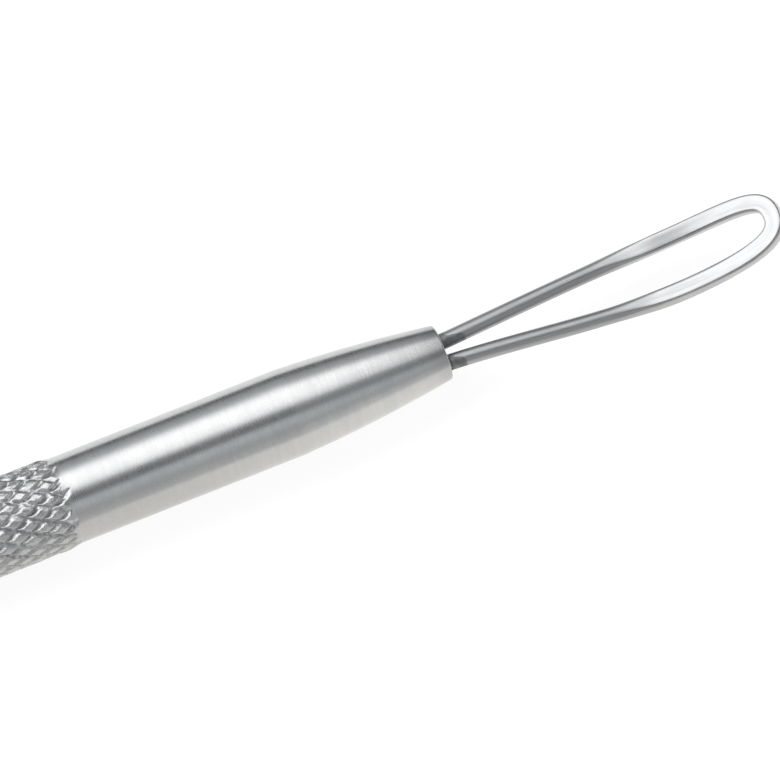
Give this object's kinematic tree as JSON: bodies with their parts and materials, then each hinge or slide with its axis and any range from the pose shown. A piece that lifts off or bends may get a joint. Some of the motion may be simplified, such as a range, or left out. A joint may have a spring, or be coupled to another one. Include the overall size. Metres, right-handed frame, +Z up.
{
  "type": "blackhead extractor",
  "caption": "Slim double-ended steel skin tool: a bar with a diamond knurled grip and tapered ends, each holding a narrow flattened wire loop that curls up at its tip.",
  "frame": {"origin": "under the middle of the tool's overall length, level with the lowest line of its knurled grip", "axes": "+X along the bar towards the large loop, +Y across the loops, +Z up, the way the loops' tips curl"},
  "size_m": [0.1236, 0.0064, 0.0063],
  "materials": {
    "handle_steel": "satin, with fine turning marks round the bar",
    "loop_steel": "drawn wire, polished on its flattened faces",
    "braze_metal": "as cast, slightly dark"
  },
  "bodies": {
    "root": {"handle": "handle_steel", "large_loop": "loop_steel", "large_loop_braze": "braze_metal", "small_loop": "loop_steel", "small_loop_braze": "braze_metal"}
  },
  "joints": []
}
